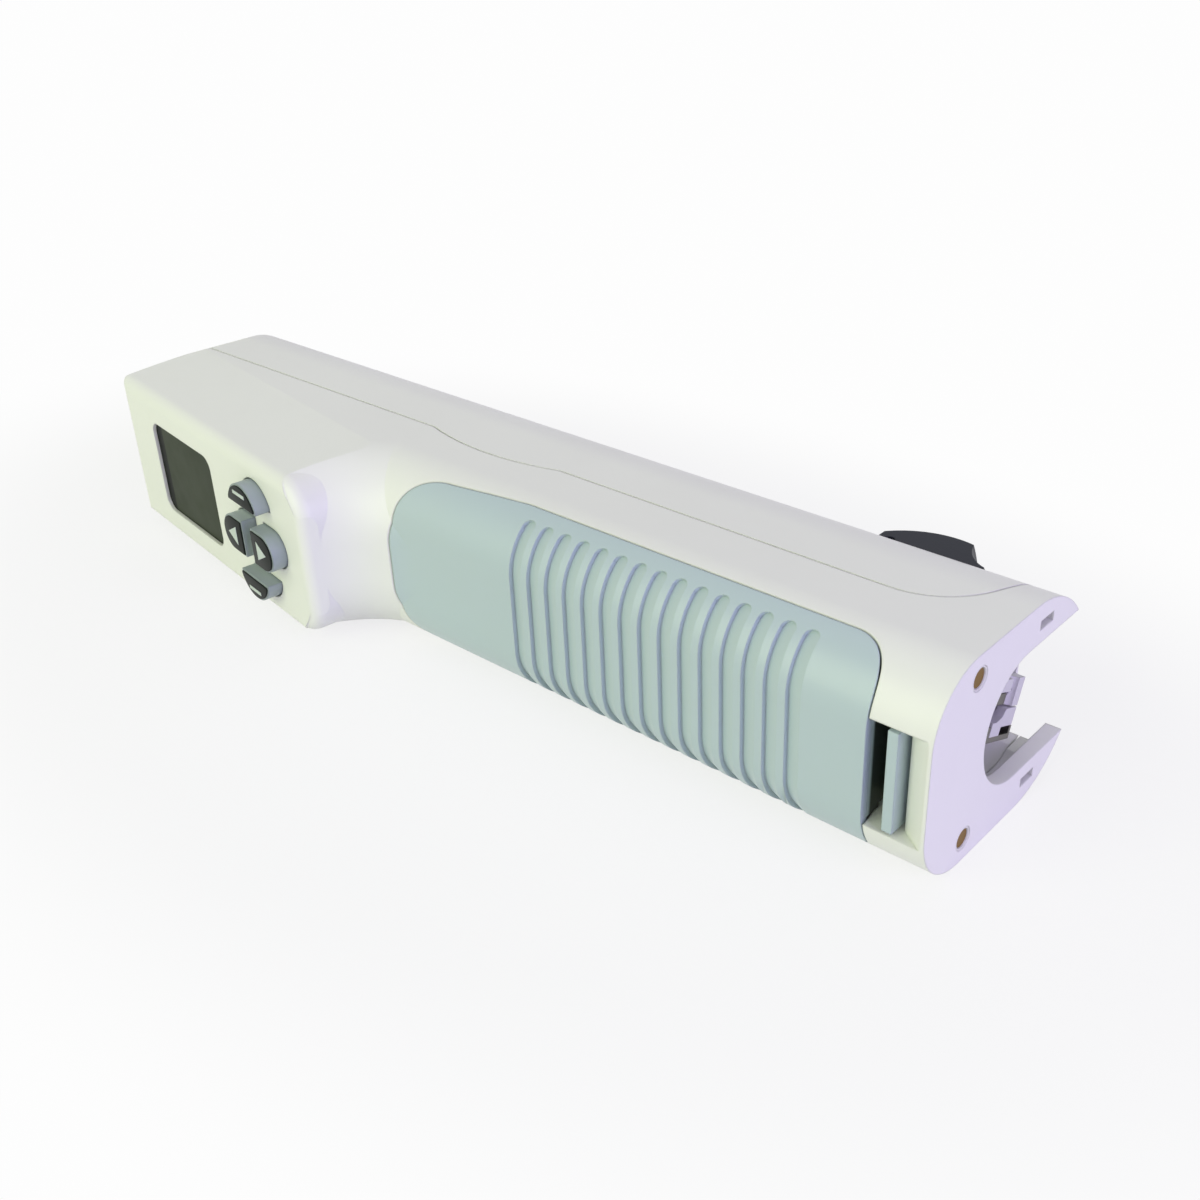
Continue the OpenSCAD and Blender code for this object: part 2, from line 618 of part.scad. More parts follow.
// ---- trigger ----
module trigger_profile(o) {
  difference() {
    intersection() {
      translate([-22, 13.5]) circle(r = 18 - o);
      translate([trig_x0 + o, 16.5]) square([trig_x1 - trig_x0 - 2 * o, 16]);
    }
    translate([-11.2, 33.4]) circle(r = 7.8 + o);
  }
}
module trigger() color([0.14, 0.17, 0.24]) at_trigger() difference() {
  union() {
    difference() {
      intersection() {
        translate([0, -6.5, 0]) rotate([0, 90, 0]) rotate_extrude() mirror([1, -1]) trigger_profile(0);
        box([trig_x0, 10.4, -trigger_hw], [trig_x1, 40, trigger_hw]);
      }
      intersection() {
        translate([0, -6.5, 0]) rotate([0, 90, 0]) rotate_extrude() mirror([1, -1]) trigger_profile(2);
        box([trig_x0 + 2, 5, -trigger_hw + 2], [trig_x1 - 2, 40, trigger_hw - 2]);
      }
      // room for the housing lugs and the spring
      for (s = [-1, 1]) box([trig_x0 - 1, 9, s > 0 ? 8.5 : -11.3], [-31, 16.4, s > 0 ? 11.3 : -8.5]);
      box([trig_x0 - 1, 9, -5.8], [-29, 16.4, 5.8]);
    }
    // pivot lugs
    for (s = [-1, 1]) box([trig_x0 + 0.5, 11.4, s > 0 ? 6 : -8.3], [pin_x + 2, 19.4, s > 0 ? 8.3 : -6]);
    // rib over the switch
    box([-24.6, 14.5, -1.2], [-22.6, 23, 1.2]);
  }
  translate([pin_x, pin_y, -20]) cylinder(r = 1 + run_gap / 2, h = 40);
}
module trigger_pin() color([0.7, 0.7, 0.72]) at_trigger() translate([pin_x, pin_y, -11]) cylinder(r = 1, h = 22);
module trigger_spring() color([0.65, 0.65, 0.68]) at_trigger() {
  for (k = [-2:2]) translate([pin_x, pin_y, k * 1.05]) rotate_extrude() translate([1.75, 0]) circle(r = 0.3);
  translate([pin_x + 1.75, pin_y, -2.4]) cylinder(r = 0.25, h = 4.8);
  translate([pin_x, pin_y + 1.6, -2.1]) rotate([0, -90, 0]) cylinder(r = 0.3, h = 5.4);
}
module trigger_switch() color([0.15, 0.15, 0.16]) at_trigger() {
  box([-28.4, 8.8, -3.2], [-18.6, 13, 3.2]);
  translate([-23.6, 12.9, 0]) rotate([-90, 0, 0]) cylinder(r = 0.9, h = 0.6);
}
module switch_board() color([0.1, 0.35, 0.2]) at_trigger() box([-42, 7.6, -14.3], [-15, 8.8, 14.3]);
module charge_pin(s) {
  along_x(-1.35, -0.35) translate([-16.3, s * 15.5]) circle(r = 1.7);
  along_x(-9.2, -1.3) translate([-16.3, s * 15.5]) circle(r = 1.1);
}
module charge_pin_upper() color([0.7, 0.55, 0.3]) charge_pin(1);
module charge_pin_lower() color([0.7, 0.55, 0.3]) charge_pin(-1);

front_housing();
rear_housing();
display_window();
lcd_module();
key_upper();
key_left();
key_right();
key_lower();
dome_switches();
main_board();
grip_cover();
cover_latch();
battery_tray();
cell_upper();
cell_lower();
cell_springs();
cell_plate();
chassis();
chassis_screws();
motor();
motor_pinion();
nut_gear();
nut_bearing_front();
nut_bearing_rear();
piston_rod();
guide_rail_upper();
guide_rail_lower();
gripper_block();
jaw_upper();
jaw_lower();
jaw_band();
jaw_pins();
jaw_clip();
trigger();
trigger_pin();
trigger_spring();
trigger_switch();
switch_board();
charge_pin_upper();
charge_pin_lower();
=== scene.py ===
import bpy
import math
from mathutils import Matrix, Vector


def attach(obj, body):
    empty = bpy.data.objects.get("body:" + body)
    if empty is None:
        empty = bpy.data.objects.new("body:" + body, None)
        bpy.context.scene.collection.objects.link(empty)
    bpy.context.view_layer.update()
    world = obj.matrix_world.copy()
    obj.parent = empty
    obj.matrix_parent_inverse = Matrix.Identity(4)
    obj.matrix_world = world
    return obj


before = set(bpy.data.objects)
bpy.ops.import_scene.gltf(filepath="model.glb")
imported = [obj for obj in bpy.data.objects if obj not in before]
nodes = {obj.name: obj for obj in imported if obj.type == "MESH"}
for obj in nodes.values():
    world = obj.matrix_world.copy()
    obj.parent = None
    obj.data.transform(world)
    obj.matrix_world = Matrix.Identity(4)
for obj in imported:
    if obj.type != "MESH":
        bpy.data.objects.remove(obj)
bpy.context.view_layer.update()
scene = bpy.context.scene
print("frame loaded:", len(nodes), "nodes")


# shader helpers

def newGroup(name, inputs, outputs):
    tree = bpy.data.node_groups.new(name, "ShaderNodeTree")
    for label, kind, value in inputs:
        sock = tree.interface.new_socket(name=label, in_out="INPUT", socket_type=kind)
        sock.default_value = value
    for label, kind in outputs:
        tree.interface.new_socket(name=label, in_out="OUTPUT", socket_type=kind)
    return tree, tree.nodes.new("NodeGroupInput"), tree.nodes.new("NodeGroupOutput")


def addNode(tree, kind, links=None, **values):
    # values are the node's own settings; a link joins a socket to an input, or sets a plain value on it
    node = tree.nodes.new(kind)
    for key, value in values.items():
        setattr(node, key, value)
    for key, value in (links or {}).items():
        if isinstance(value, bpy.types.NodeSocket):
            tree.links.new(value, node.inputs[key])
        else:
            node.inputs[key].default_value = value
    return node


def addMath(tree, operation, *values, clamp=False):
    links = dict(enumerate(values))
    return addNode(tree, "ShaderNodeMath", links, operation=operation, use_clamp=clamp).outputs[0]


def addNoise(tree, vector, scale, detail=2.0, roughness=0.5):
    links = {"Vector": vector, "Scale": scale, "Detail": detail, "Roughness": roughness}
    return addNode(tree, "ShaderNodeTexNoise", links).outputs["Fac"]


def addRange(tree, value, reads, gives=(0.0, 1.0), **values):
    links = {
        "Value": value,
        "From Min": reads[0],
        "From Max": reads[1],
        "To Min": gives[0],
        "To Max": gives[1],
    }
    return addNode(tree, "ShaderNodeMapRange", links, **values).outputs["Result"]


def addMix(tree, factor, first, second):
    # inputs 6 and 7 and output 2 are the colour sockets
    links = {"Factor": factor, 6: first, 7: second}
    return addNode(tree, "ShaderNodeMix", links, data_type="RGBA").outputs[2]


# surface effects that the finishes share

def buildGrain():
    # spark-eroded mould texture: fine pits on a slow waviness
    tree, src, out = newGroup("mouldGrain", [
        ("Vector", "NodeSocketVector", (0, 0, 0)),
        ("Grain Scale", "NodeSocketFloat", 2600.0),
        ("Wave", "NodeSocketFloat", 0.25),
    ], [("Height", "NodeSocketFloat")])
    place = src.outputs["Vector"]
    scale = src.outputs["Grain Scale"]
    fine = addNoise(tree, place, scale, detail=2.0, roughness=0.6)
    cells = addNode(tree, "ShaderNodeTexVoronoi", {"Vector": place, "Scale": scale})
    pits = addMath(tree, "ADD", fine, cells.outputs["Distance"])
    waves = addMath(tree, "MULTIPLY", addNoise(tree, place, scale=45.0, detail=3.0), src.outputs["Wave"])
    tree.links.new(addMath(tree, "ADD", pits, waves), out.inputs["Height"])
    return tree


def buildHandling():
    # faint smudges and dust from use
    tree, src, out = newGroup("handlingMarks", [
        ("Vector", "NodeSocketVector", (0, 0, 0)),
        ("Color", "NodeSocketColor", (0.8, 0.8, 0.8, 1)),
        ("Dirt Color", "NodeSocketColor", (0.5, 0.48, 0.44, 1)),
        ("Amount", "NodeSocketFloat", 0.1),
        ("Roughness", "NodeSocketFloat", 0.5),
    ], [("Color", "NodeSocketColor"), ("Roughness", "NodeSocketFloat")])
    place = src.outputs["Vector"]
    broad = addNoise(tree, place, scale=38.0, detail=5.0, roughness=0.62)
    smudges = addRange(tree, broad, reads=(0.46, 0.78))
    dust = addRange(tree, addNoise(tree, place, scale=900.0), reads=(0.70, 0.78), gives=(0.0, 0.6))
    both = addMath(tree, "ADD", smudges, dust, clamp=True)
    mask = addMath(tree, "MULTIPLY", both, src.outputs["Amount"])
    tint = addMix(tree, mask, src.outputs["Color"], src.outputs["Dirt Color"])
    rough = addMath(tree, "MULTIPLY_ADD", mask, 0.5, src.outputs["Roughness"], clamp=True)
    tree.links.new(tint, out.inputs["Color"])
    tree.links.new(rough, out.inputs["Roughness"])
    return tree


def buildDrift():
    # slow lighter and darker drift that a moulded shell shows
    tree, src, out = newGroup("mouldDrift", [
        ("Vector", "NodeSocketVector", (0, 0, 0)),
        ("Color", "NodeSocketColor", (0.8, 0.8, 0.8, 1)),
        ("Drift", "NodeSocketFloat", 0.03),
    ], [("Color", "NodeSocketColor")])
    centred = addMath(tree, "SUBTRACT", addNoise(tree, src.outputs["Vector"], scale=16.0), 0.5)
    amount = addMath(tree, "MULTIPLY", centred, src.outputs["Drift"])
    links = {0: src.outputs["Color"], "Scale": addMath(tree, "ADD", amount, 1.0)}
    tinted = addNode(tree, "ShaderNodeVectorMath", links, operation="SCALE")
    tree.links.new(tinted.outputs["Vector"], out.inputs["Color"])
    return tree


grainGroup = buildGrain()
handlingGroup = buildHandling()
driftGroup = buildDrift()


# painted shade for the latch slot: the cover's end wall and the latch bar turn dark where they reach into
# shadow
latchSlotShade = {
    "from": (-0.0131, -0.0268),  # where the painted shade starts along the body and into it
    "fade": (0.0001, 0.0003),  # to each side of those two
    "to": -0.0082,
    "half": 0.0101,
    # colour of the painted shade
    "color": (0.018, 0.023, 0.022),
}


def paintSlotShade(tree, place, colour, setup):
    # painted shade deep in the latch slot and down the latch bar's sides, standing in for the shadow there
    parts = addNode(tree, "ShaderNodeSeparateXYZ", {"Vector": place})
    edges = []
    for axis, start, fade in zip("XY", setup["from"], setup["fade"]):
        edges.append(addRange(tree, parts.outputs[axis], reads=(start - fade, start + fade)))
    across = addMath(tree, "ABSOLUTE", parts.outputs["Z"])
    within = addMath(tree, "LESS_THAN", across, setup["half"])
    before = addMath(tree, "LESS_THAN", parts.outputs["X"], setup["to"])
    corner = addMath(tree, "MULTIPLY", *edges)
    inside = addMath(tree, "MULTIPLY", within, before)
    mask = addMath(tree, "MULTIPLY", corner, inside)
    return addMix(tree, mask, colour, (*setup["color"], 1))


plainFinish = {  # what a finish has unless it says otherwise
    "drift": 0.06,
    "dirt": (0.45, 0.43, 0.4),
    "marks": 0.08,
    "grainScale": 2600.0,
    "wave": 0.25,
    "bump": 0.15,
    "depth": 0.00004,  # of the grain
    "edge": 0.0,  # radius that the edges look broken by
    "metal": 0.0,
    "ior": 1.5,
    "specular": 0.5,
    "coat": 0.0,
    "coatRough": 0.2,
}
finishes = {
    "shellPlastic": {"color": (0.78, 0.785, 0.755), "rough": 0.40, "marks": 0.04, "bump": 0.10,
                     "grainScale": 2800.0, "edge": 0.00045},
    "gripPlastic": {"color": (0.445, 0.540, 0.575), "rough": 0.34, "marks": 0.06, "bump": 0.12,
                    "grainScale": 2400.0, "edge": 0.0004, "slot": latchSlotShade},
    "keyRubber": {"color": (0.30, 0.35, 0.37), "rough": 0.45, "marks": 0.08, "bump": 0.2,
                  "grainScale": 3200.0, "edge": 0.0006},
    "keyCapPlastic": {"color": (0.012, 0.015, 0.013), "rough": 0.4, "marks": 0.08,
                      "dirt": (0.06, 0.06, 0.06), "bump": 0.1, "specular": 0.1, "edge": 0.0003},
    "printPaint": {"color": (0.52, 0.58, 0.56), "rough": 0.5, "marks": 0.15, "dirt": (0.2, 0.2, 0.2)},
    "triggerPlastic": {"color": (0.007, 0.009, 0.018), "rough": 0.42, "marks": 0.06,
                       "dirt": (0.05, 0.05, 0.06), "bump": 0.12, "specular": 0.16, "edge": 0.0004},
    "darkPlastic": {"color": (0.03, 0.03, 0.033), "rough": 0.45, "marks": 0.1, "dirt": (0.2, 0.2, 0.2)},
    "acetal": {"color": (0.56, 0.55, 0.58), "rough": 0.35, "marks": 0.08, "bump": 0.1, "edge": 0.0002},
    "chassisPlastic": {"color": (0.50, 0.51, 0.51), "rough": 0.45, "marks": 0.08, "bump": 0.1},
    "gearAcetal": {"color": (0.72, 0.68, 0.55), "rough": 0.4, "marks": 0.1},
    "displayGlass": {"color": (0.055, 0.06, 0.045), "rough": 0.25, "marks": 0.03, "bump": 0.02},
    "cellSleeve": {"color": (0.05, 0.16, 0.32), "rough": 0.3, "marks": 0.06, "coat": 0.5},
    "boardMask": {"color": (0.02, 0.13, 0.05), "rough": 0.35, "marks": 0.1, "coat": 0.4},
    "brightSteel": {"color": (0.36, 0.36, 0.38), "rough": 0.3, "metal": 1.0, "marks": 0.1, "bump": 0.1,
                    "grainScale": 1800.0},
    "springSteel": {"color": (0.13, 0.12, 0.12), "rough": 0.3, "metal": 1.0, "marks": 0.12, "edge": 0.0002},
    "motorCan": {"color": (0.6, 0.6, 0.62), "rough": 0.2, "metal": 1.0, "marks": 0.08},
    "brassTurned": {"color": (0.7, 0.5, 0.2), "rough": 0.3, "metal": 1.0, "marks": 0.15,
                    "dirt": (0.3, 0.2, 0.08)},
    "contactBrass": {"color": (0.20, 0.115, 0.022), "rough": 0.45, "metal": 0.3, "specular": 0.2,
                     "marks": 0.3, "dirt": (0.06, 0.04, 0.015)},
}
wearing = {
    "shellPlastic": ["front_housing", "rear_housing"],
    "gripPlastic": ["grip_cover", "cover_latch"],
    "keyRubber": ["key_upper", "key_left", "key_right", "key_lower"],
    "triggerPlastic": ["trigger"],
    "darkPlastic": ["battery_tray", "trigger_switch"],
    "acetal": ["gripper_block", "jaw_upper", "jaw_lower"],
    "chassisPlastic": ["chassis"],
    "gearAcetal": ["nut_gear"],
    "displayGlass": ["lcd_module"],
    "cellSleeve": ["cell_upper", "cell_lower"],
    "boardMask": ["main_board", "switch_board"],
    "brightSteel": ["dome_switches", "cell_springs", "cell_plate", "chassis_screws", "nut_bearing_front",
                    "nut_bearing_rear", "piston_rod", "guide_rail_upper", "guide_rail_lower", "jaw_pins",
                    "trigger_pin", "trigger_spring"],
    "springSteel": ["jaw_clip", "jaw_band"],
    "motorCan": ["motor"],
    "brassTurned": ["motor_pinion"],
    "contactBrass": ["charge_pin_upper", "charge_pin_lower"],
}


def finishMaterial(name, finish):
    setup = {**plainFinish, **finish}
    mat = bpy.data.materials.new(name)
    mat.use_nodes = True
    tree = mat.node_tree
    shader = tree.nodes["Principled BSDF"]
    place = addNode(tree, "ShaderNodeTexCoord").outputs["Object"]
    drift = addNode(tree, "ShaderNodeGroup", {
        "Vector": place,
        "Color": (*setup["color"], 1),
        "Drift": setup["drift"],
    }, node_tree=driftGroup)
    marks = addNode(tree, "ShaderNodeGroup", {
        "Vector": place,
        "Color": drift.outputs["Color"],
        "Dirt Color": (*setup["dirt"], 1),
        "Amount": setup["marks"],
        "Roughness": setup["rough"],
    }, node_tree=handlingGroup)
    colour = marks.outputs["Color"]
    # painted shade in the latch slot, on the grip cover and the latch
    if "slot" in setup:
        colour = paintSlotShade(tree, place, colour, setup["slot"])
    tree.links.new(colour, shader.inputs["Base Color"])
    tree.links.new(marks.outputs["Roughness"], shader.inputs["Roughness"])
    grain = addNode(tree, "ShaderNodeGroup", {
        "Vector": place,
        "Grain Scale": setup["grainScale"],
        "Wave": setup["wave"],
    }, node_tree=grainGroup)
    bump = addNode(tree, "ShaderNodeBump", {
        "Height": grain.outputs["Height"],
        "Strength": setup["bump"],
        "Distance": setup["depth"],
    })
    if setup["edge"]:
        edge = addNode(tree, "ShaderNodeBevel", {"Radius": setup["edge"]}, samples=6)
        tree.links.new(edge.outputs["Normal"], bump.inputs["Normal"])
    tree.links.new(bump.outputs["Normal"], shader.inputs["Normal"])
    shader.inputs["Metallic"].default_value = setup["metal"]
    shader.inputs["IOR"].default_value = setup["ior"]
    shader.inputs["Specular IOR Level"].default_value = setup["specular"]
    shader.inputs["Coat Weight"].default_value = setup["coat"]
    shader.inputs["Coat Roughness"].default_value = setup["coatRough"]
    return mat


def paint(name, mat):
    for slot in nodes[name].material_slots:
        slot.material = mat


mats = {name: finishMaterial(name, finish) for name, finish in finishes.items()}
for name, wearers in wearing.items():
    for wearer in wearers:
        paint(wearer, mats[name])


# the display face: its outer corner, its tilt and how to reach a point on it
headSetup = {"corner": (-0.2195, -0.0287), "tilt": math.radians(9)}


def facePoint(along, rise, side):
    # a point on the display face: along it, out of it and across it
    tilt = headSetup["tilt"]
    x = headSetup["corner"][0] + along * math.cos(tilt) - rise * math.sin(tilt)
    y = headSetup["corner"][1] - along * math.sin(tilt) - rise * math.cos(tilt)
    return Vector((x, y, side))


windowSetup = {
    "centre": facePoint(0.0317, 0, 0),
    "halfLength": 0.0129,  # of the clear pane, inside the dark print
    "halfWidth": 0.0106,
    "fade": 0.0001,  # to each side of the print's edge
    "glass": (0.036, 0.045, 0.026),
    "print": (0.008, 0.010, 0.007),
    "rough": (0.3, 0.42),
    "specular": 0.04,
}


def windowMaterial(setup):
    # tinted pane with the dark print that frames the display behind it
    mat = bpy.data.materials.new("windowAcrylic")
    mat.use_nodes = True
    tree = mat.node_tree
    shader = tree.nodes["Principled BSDF"]
    coords = addNode(tree, "ShaderNodeTexCoord").outputs["Object"]
    place = addNode(tree, "ShaderNodeMapping", {
        "Vector": coords,
        "Location": setup["centre"],
        "Rotation": (0, 0, -headSetup["tilt"]),
    }, vector_type="TEXTURE")
    parts = addNode(tree, "ShaderNodeSeparateXYZ", {"Vector": place.outputs["Vector"]})
    masks = []
    for axis, half in (("X", setup["halfLength"]), ("Z", setup["halfWidth"])):
        away = addMath(tree, "ABSOLUTE", parts.outputs[axis])
        masks.append(addRange(tree, away, reads=(half - setup["fade"], half + setup["fade"])))
    border = addMath(tree, "MAXIMUM", *masks)
    cloud = addRange(tree, addNoise(tree, coords, scale=60.0), reads=(0.3, 0.7), gives=(0.93, 1.07))
    glass = addNode(tree, "ShaderNodeVectorMath", {0: setup["glass"], "Scale": cloud}, operation="SCALE")
    pane = addMix(tree, border, glass.outputs["Vector"], (*setup["print"], 1))
    smear = addNoise(tree, coords, scale=160.0, detail=4.0)
    tree.links.new(pane, shader.inputs["Base Color"])
    tree.links.new(addRange(tree, smear, reads=(0.4, 0.8), gives=setup["rough"]), shader.inputs["Roughness"])
    shader.inputs["Specular IOR Level"].default_value = setup["specular"]
    return mat


paint("display_window", windowMaterial(windowSetup))
print("finishes made:", len(bpy.data.materials))


# modelling helpers


def pickOnly(ob):
    bpy.ops.object.select_all(action="DESELECT")
    ob.select_set(True)
    bpy.context.view_layer.objects.active = ob


def bevelAll(ob, width, segments, angle):
    pickOnly(ob)
    mod = ob.modifiers.new("soften", "BEVEL")
    mod.width = width
    mod.segments = segments
    mod.limit_method = "ANGLE"
    mod.angle_limit = math.radians(angle)
    bpy.ops.object.modifier_apply(modifier=mod.name)


def finishPiece(ob, name, body, mat, smooth):
    # place goes into the mesh, the object to the origin
    pickOnly(ob)
    bpy.ops.object.transform_apply(location=True, rotation=True, scale=True)
    bpy.ops.object.shade_smooth_by_angle(angle=math.radians(smooth))
    ob.name = name
    ob.data.name = name
    ob.data.materials.clear()
    ob.data.materials.append(mats[mat])
    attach(ob, body)


def placeOnFace(ob, along, rise, side, spin=0.0):
    # local X runs along the display face, local Y across it and local Z out of it
    tilt = headSetup["tilt"]
    alongAxis = Vector((math.cos(tilt), -math.sin(tilt), 0))
    outAxis = Vector((-math.sin(tilt), -math.cos(tilt), 0))
    turn = Matrix((alongAxis, outAxis.cross(alongAxis), outAxis)).transposed().to_4x4()
    spun = turn @ Matrix.Rotation(spin, 4, "Z")
    ob.matrix_world = Matrix.Translation(facePoint(along, rise, side)) @ spun


# hard caps on the rubber keys, and the signs printed on them

keySetup = {
    "centre": 0.0666,  # along the face
    "rise": 0.0032,
    # an outline's round end and the middle of its arc, its flat end and half of that end's length
    "upperLower": {"radius": 0.0063, "middle": 0.0071, "flat": 0.0083, "half": 0.0059},
    "leftRight": {"radius": 0.0042, "middle": 0.0066, "flat": 0.0020},
    "arcSteps": 18,
    "discRadius": 0.004,  # of the disc that a cap is drawn out from
    "capRim": 0.00035,  # rubber left showing round each cap
    "capHeight": 0.00035,
    "capEdge": 0.00016,
}
signSetup = {
    "left": {"corners": 3, "radius": 0.0025, "squash": 1.0, "spin": math.radians(90)},
    "right": {"corners": 3, "radius": 0.0025, "squash": 1.0, "spin": math.radians(-90)},
    "upper": {"corners": 4, "radius": 0.0036, "squash": 0.16, "spin": 0.0},
    "lower": {"corners": 4, "radius": 0.0036, "squash": 0.16, "spin": 0.0},
}
printSetup = {
    "height": 0.00012,
    "sink": 0.00002,  # into the cap
    "edge": 0.00004,
    "arrowPlace": 0.0058,  # from the keys' centre to the middle of an arrow
}


def arcPoints(middle, radius, start, end):
    steps = keySetup["arcSteps"]
    angles = [start + (end - start) * k / steps for k in range(steps + 1)]
    return [(middle[0] + radius * math.cos(a), middle[1] + radius * math.sin(a)) for a in angles]


def keyOutline(which, inset):
    # the same outlines as the keys themselves, drawn in along and across
    centre = keySetup["centre"]
    if which in ("upper", "lower"):
        shape = keySetup["upperLower"]
        radius = shape["radius"] - inset
        half = shape["half"] - inset
        flat = shape["flat"] + inset
        start = math.acos(half / radius)
        bow = arcPoints((0, shape["middle"]), radius, start, math.pi - start)
        sign = 1 if which == "upper" else -1
        return [(centre + u, sign * z) for u, z in [(half, flat), *bow, (-half, flat)]]
    shape = keySetup["leftRight"]
    radius = shape["radius"] - inset
    flat = shape["flat"] + inset
    bow = arcPoints((shape["middle"], 0), radius, -math.pi / 2, math.pi / 2)
    sign = -1 if which == "left" else 1
    return [(centre + sign * u, z) for u, z in [(flat, -radius), *bow, (flat, radius)]]


def makeCap(which):
    # hard cap on the rubber key: a disc drawn out to the key's outline, raised and rounded
    outline = keyOutline(which, keySetup["capRim"])
    middle = (sum(u for u, z in outline) / len(outline), sum(z for u, z in outline) / len(outline))
    bpy.ops.object.select_all(action="DESELECT")
    bpy.ops.mesh.primitive_circle_add(vertices=len(outline), radius=keySetup["discRadius"], fill_type="NGON")
    cap = bpy.context.object
    order = sorted(outline, key=lambda q: math.atan2(q[1] - middle[1], q[0] - middle[0]))
    ring = sorted(cap.data.vertices, key=lambda v: math.atan2(v.co.y, v.co.x))
    for vert, (u, z) in zip(ring, order):
        vert.co = (u - middle[0], z - middle[1], 0)
    bpy.ops.object.mode_set(mode="EDIT")
    bpy.ops.mesh.select_all(action="SELECT")
    bpy.ops.mesh.normals_make_consistent(inside=False)
    bpy.ops.mesh.extrude_region_move(TRANSFORM_OT_translate={"value": (0, 0, keySetup["capHeight"])})
    bpy.ops.mesh.select_all(action="SELECT")
    bpy.ops.mesh.normals_make_consistent(inside=False)
    bpy.ops.object.mode_set(mode="OBJECT")
    bevelAll(cap, keySetup["capEdge"], segments=3, angle=50)
    placeOnFace(cap, middle[0], keySetup["rise"], middle[1])
    finishPiece(cap, "keyCap_" + which, which + "_key", "keyCapPlastic", smooth=45)
    return middle


def makeSign(which, setup, along, side):
    # pad-printed sign: a low plate with softened corners
    bpy.ops.object.select_all(action="DESELECT")
    bpy.ops.mesh.primitive_circle_add(vertices=setup["corners"], radius=setup["radius"], fill_type="NGON")
    sign = bpy.context.object
    bpy.ops.object.mode_set(mode="EDIT")
    bpy.ops.mesh.select_all(action="SELECT")
    if setup["corners"] == 4:  # a bar is turned so that its sides run along and across
        bpy.ops.transform.rotate(value=math.radians(45), orient_axis="Z", center_override=(0, 0, 0))
    bpy.ops.transform.resize(value=(1, setup["squash"], 1))
    bpy.ops.mesh.extrude_region_move(TRANSFORM_OT_translate={"value": (0, 0, printSetup["height"])})
    bpy.ops.mesh.select_all(action="SELECT")
    bpy.ops.mesh.normals_make_consistent(inside=False)
    bpy.ops.object.mode_set(mode="OBJECT")
    bevelAll(sign, printSetup["edge"], segments=2, angle=30)
    rise = keySetup["rise"] + keySetup["capHeight"] - printSetup["sink"]
    placeOnFace(sign, along, rise, side, setup["spin"])
    finishPiece(sign, "keySign_" + which, which + "_key", "printPaint", smooth=30)


capMiddles = {which: makeCap(which) for which in ("upper", "left", "right", "lower")}
for which, setup in signSetup.items():
    along, side = capMiddles[which]
    if setup["corners"] == 3:  # an arrow is set back from the round end
        along = keySetup["centre"] + math.copysign(printSetup["arrowPlace"], along - keySetup["centre"])
    makeSign(which, setup, along, side)
print("keys dressed")


# pale collars of the charging contacts

ringSetup = {
    "centres": ((-0.0163, 0.0155), (-0.0163, -0.0155)),  # across the body and along its width
    "sides": 48,
    "outer": 0.00216,
    "wall": 0.0003,
    "edge": 0.0001,
    "back": -0.0013,
    "front": -0.00006,
}


def makeContactRing(index, centre):
    # seated in the end plate's hole
    depth = ringSetup["front"] - ringSetup["back"]
    bpy.ops.object.select_all(action="DESELECT")
    bpy.ops.mesh.primitive_cylinder_add(vertices=ringSetup["sides"], radius=ringSetup["outer"],
                                        depth=depth, end_fill_type="NOTHING")
    ring = bpy.context.object
    wall = ring.modifiers.new("wall", "SOLIDIFY")
    wall.thickness = ringSetup["wall"]
    wall.offset = -1
    bpy.ops.object.modifier_apply(modifier=wall.name)
    bevelAll(ring, ringSetup["edge"], segments=2, angle=50)
    middle = (ringSetup["front"] + ringSetup["back"]) / 2
    ring.matrix_world = Matrix.Translation((middle, *centre)) @ Matrix.Rotation(math.pi / 2, 4, "Y")
    finishPiece(ring, "contactRing_" + str(index), "body", "shellPlastic", smooth=40)


for index, centre in enumerate(ringSetup["centres"]):
    makeContactRing(index, centre)
print("contact rings set")


# stage, light and camera

backdropWhite = (0.985, 0.985, 0.985, 1)
stageSetup = {
    "restHeight": -0.020,
    "floorSize": 6.0,
    "color": (0.86, 0.86, 0.86),
    "rough": 0.9,
    "middle": (-0.105, -0.012),
    "reach": (0.17, 0.10),  # how far out the floor still shows shadow
    "fade": (0.75, 1.35),  # in reaches from the middle, where it turns white
    "whiteNear": 0.78,
}
roomSetup = {"color": (0.96, 0.96, 1.0), "strength": 0.39}
lampSetup = {
    # name: place, aim, size, power, colour
    "frontPanel": ((-0.35, -1.1, 0.55), (-0.1, 0, 0), 1.0, 9.0, (0.88, 1.0, 0.60)),
    "tipPanel": ((1.0, -0.15, 0.45), (-0.05, 0, 0), 0.8, 8.0, (0.64, 0.52, 1.0)),
    "topPanel": ((-0.15, 0.35, 1.2), (-0.1, 0, 0), 1.2, 2.3, (1.0, 1.0, 1.0)),
}
cameraSetup = {
    "sensor": 36.0,
    "lens": 43.05,
    "near": 0.01,
    "place": (0.08272, -0.18714, 0.13694),
    "turn": ((0.74268, -0.30871, 0.59424), (0.66841, 0.39545, -0.62995), (-0.04052, 0.86505, 0.50004)),
}


def seenDirectly(tree):
    # camera, glossy and transmission rays, so that metal and glass show the pale background too
    ray = addNode(tree, "ShaderNodeLightPath")
    first = addMath(tree, "MAXIMUM", ray.outputs["Is Camera Ray"], ray.outputs["Is Glossy Ray"])
    return addMath(tree, "MAXIMUM", first, ray.outputs["Is Transmission Ray"])


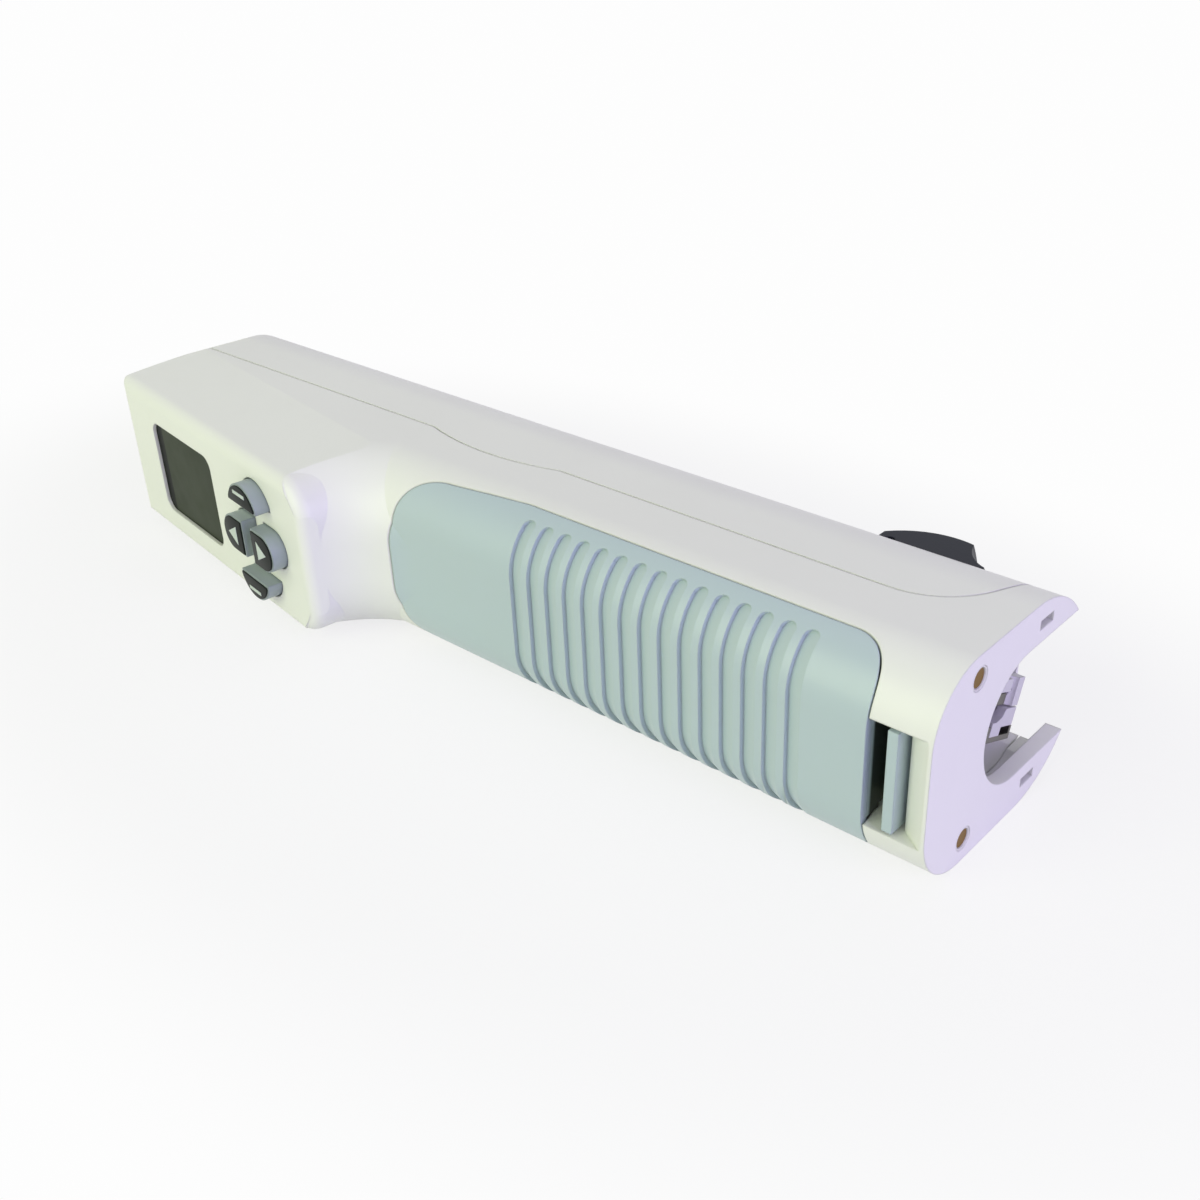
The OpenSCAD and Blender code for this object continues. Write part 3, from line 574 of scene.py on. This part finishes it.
def addFloorMaterial(floor):
    # the floor turns to even white away from the object and keeps its shadow near it
    mat = bpy.data.materials.new("paleFloor")
    mat.use_nodes = True
    tree = mat.node_tree
    shader = tree.nodes["Principled BSDF"]
    shader.inputs["Base Color"].default_value = (*stageSetup["color"], 1)
    shader.inputs["Roughness"].default_value = stageSetup["rough"]
    shader.inputs["Specular IOR Level"].default_value = 0.0
    place = addNode(tree, "ShaderNodeMapping", {
        "Vector": addNode(tree, "ShaderNodeTexCoord").outputs["Object"],
        "Location": (*stageSetup["middle"], 0),
        "Scale": (*stageSetup["reach"], 1),
    }, vector_type="TEXTURE")
    away = addNode(tree, "ShaderNodeVectorMath", {0: place.outputs["Vector"]}, operation="LENGTH")
    fade = addRange(tree, away.outputs["Value"], reads=stageSetup["fade"], interpolation_type="SMOOTHSTEP")
    plain = addRange(tree, fade, reads=(0.0, 1.0), gives=(stageSetup["whiteNear"], 1.0))
    seen = addMath(tree, "MULTIPLY", plain, seenDirectly(tree))
    white = addNode(tree, "ShaderNodeEmission", {"Color": backdropWhite, "Strength": 1.0})
    pick = addNode(tree, "ShaderNodeMixShader", {0: seen, 1: shader.outputs[0], 2: white.outputs[0]})
    tree.links.new(pick.outputs[0], tree.nodes["Material Output"].inputs["Surface"])
    floor.data.materials.append(mat)


def lightRoom():
    world = bpy.data.worlds.new("softRoom")
    scene.world = world
    world.use_nodes = True
    tree = world.node_tree
    light = tree.nodes["Background"]
    light.inputs["Color"].default_value = (*roomSetup["color"], 1)
    light.inputs["Strength"].default_value = roomSetup["strength"]
    white = addNode(tree, "ShaderNodeBackground", {"Color": backdropWhite, "Strength": 1.0})
    links = {0: seenDirectly(tree), 1: light.outputs[0], 2: white.outputs[0]}
    pick = addNode(tree, "ShaderNodeMixShader", links)
    tree.links.new(pick.outputs[0], tree.nodes["World Output"].inputs["Surface"])


def hangLamp(name, place, aim, size, power, tint):
    lamp = bpy.data.lights.new(name, "AREA")
    lamp.shape = "SQUARE"
    lamp.size = size
    lamp.energy = power
    lamp.color = tint
    holder = bpy.data.objects.new(name, lamp)
    scene.collection.objects.link(holder)
    holder.location = place
    holder.rotation_euler = (Vector(place) - Vector(aim)).to_track_quat("Z", "Y").to_euler()


def placeCamera():
    camData = bpy.data.cameras.new("viewer")
    camera = bpy.data.objects.new("viewer", camData)
    scene.collection.objects.link(camera)
    camData.sensor_width = cameraSetup["sensor"]
    camData.lens = cameraSetup["lens"]
    camData.clip_start = cameraSetup["near"]
    camData.dof.use_dof = False
    turn = Matrix(cameraSetup["turn"]).to_4x4()
    camera.matrix_world = Matrix.Translation(cameraSetup["place"]) @ turn
    scene.camera = camera


bpy.ops.object.select_all(action="DESELECT")
bpy.ops.mesh.primitive_plane_add(size=stageSetup["floorSize"], location=(0, 0, stageSetup["restHeight"]))
floor = bpy.context.object
floor.name = "paleFloor"
addFloorMaterial(floor)
lightRoom()
for name, lampValues in lampSetup.items():
    hangLamp(name, *lampValues)
placeCamera()
scene.view_settings.view_transform = "Standard"
print("stage, light and camera set")
